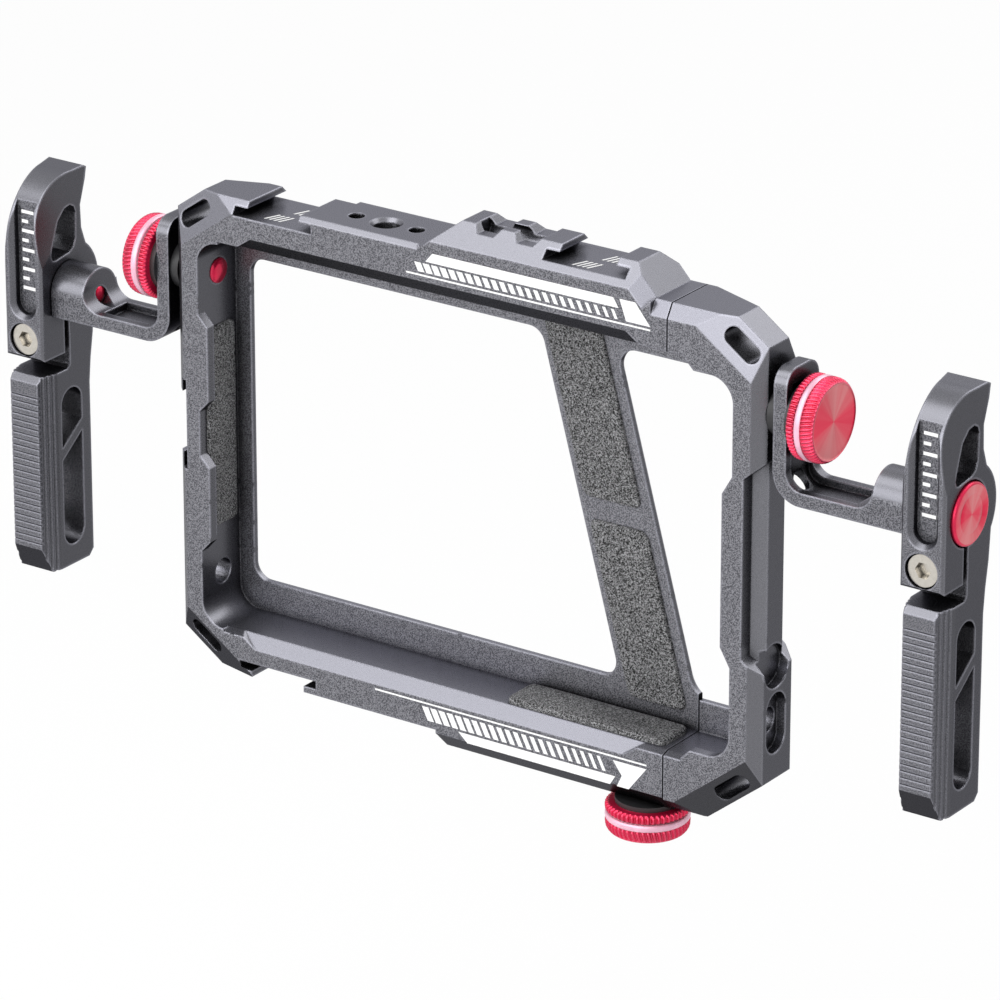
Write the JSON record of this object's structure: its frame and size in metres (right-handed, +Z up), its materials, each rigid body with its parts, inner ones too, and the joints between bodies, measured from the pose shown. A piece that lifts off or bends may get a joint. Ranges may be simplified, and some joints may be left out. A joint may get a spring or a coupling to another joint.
{
  "type": "smartphone video rig",
  "caption": "Grey aluminium phone cage in two sliding halves with cold shoes and a rail, red knurled knobs, and a clamped tilting handle hung from a bracket on each side.",
  "frame": {"origin": "middle of the tripod thread's mouth on the underside of the bottom bar, on the cage's mirror plane", "axes": "X along the cage from the left column to the sliding arm, Y from the user's side to the back, Z up"},
  "size_m": [0.2194, 0.0186, 0.1163],
  "materials": {
    "grey_anodised": "sandblasted grey anodising",
    "dark_anodised": "sandblasted dark anodising",
    "red_anodised": "glossy red anodising, knurled and spun",
    "steel": "ground",
    "screw_steel": "bright",
    "brass": "plain",
    "black_plastic": "matt",
    "pad_rubber": "soft leather grain"
  },
  "bodies": {
    "frame": {"left_column_head": "grey_anodised", "left_column_wall": "grey_anodised", "left_column_foot": "grey_anodised", "top_bar": "grey_anodised", "top_rail": "grey_anodised", "bottom_bar": "grey_anodised", "upper_back_lip": "grey_anodised", "lower_back_lip": "grey_anodised", "slanted_back_bar": "grey_anodised", "travel_stop_screw": "steel", "lock_washer": "black_plastic", "lock_pressure_pad": "brass", "left_wall_pad": "pad_rubber", "upper_bar_pad": "pad_rubber", "lower_bar_pad": "pad_rubber", "floor_pad": "pad_rubber", "left_bracket_spacer": "black_plastic"},
    "arm": {"arm_head": "grey_anodised", "arm_wall": "grey_anodised", "arm_foot": "grey_anodised", "upper_guide_rod": "steel", "lower_slide_tongue": "steel", "tongue_screws": "steel", "rod_set_screw": "steel", "right_wall_pad": "pad_rubber", "right_bracket_spacer": "black_plastic"},
    "lock_knob": {"lock_knob": "red_anodised"},
    "left_knob": {"left_thumb_knob": "red_anodised"},
    "right_knob": {"right_thumb_knob": "red_anodised"},
    "left_bracket": {"left_bracket": "dark_anodised", "left_knob_washer": "black_plastic", "left_pivot_cap": "red_anodised"},
    "right_bracket": {"right_bracket": "dark_anodised", "right_knob_washer": "black_plastic", "right_pivot_cap": "red_anodised"},
    "left_handle": {"left_handle": "dark_anodised", "left_clamp_screw": "screw_steel"},
    "right_handle": {"right_handle": "dark_anodised", "right_clamp_screw": "screw_steel"}
  },
  "joints": [
    {"name": "arm_slide", "type": "slide", "parent": "frame", "child": "arm", "axis": [1, 0, 0], "range_m": [0, 0.04]},
    {"name": "lock_knob_turn", "type": "hinge", "parent": "frame", "child": "lock_knob", "pos_m": [0.0395, 0, -0.004], "axis": [0, 0, 1], "continuous": true},
    {"name": "left_knob_turn", "type": "hinge", "parent": "frame", "child": "left_knob", "pos_m": [-0.077, 0, 0.0858], "axis": [1, 0, 0], "continuous": true},
    {"name": "right_knob_turn", "type": "hinge", "parent": "arm", "child": "right_knob", "pos_m": [0.077, 0, 0.0858], "axis": [1, 0, 0], "continuous": true},
    {"name": "left_bracket_swing", "type": "hinge", "parent": "frame", "child": "left_bracket", "pos_m": [-0.071, 0, 0.0858], "axis": [1, 0, 0], "continuous": true},
    {"name": "right_bracket_swing", "type": "hinge", "parent": "arm", "child": "right_bracket", "pos_m": [0.071, 0, 0.0858], "axis": [1, 0, 0], "continuous": true},
    {"name": "left_handle_tilt", "type": "hinge", "parent": "left_bracket", "child": "left_handle", "pos_m": [-0.1043, 0, 0.0744], "axis": [1, 0, 0], "continuous": true},
    {"name": "right_handle_tilt", "type": "hinge", "parent": "right_bracket", "child": "right_handle", "pos_m": [0.1043, 0, 0.0744], "axis": [1, 0, 0], "continuous": true}
  ]
}
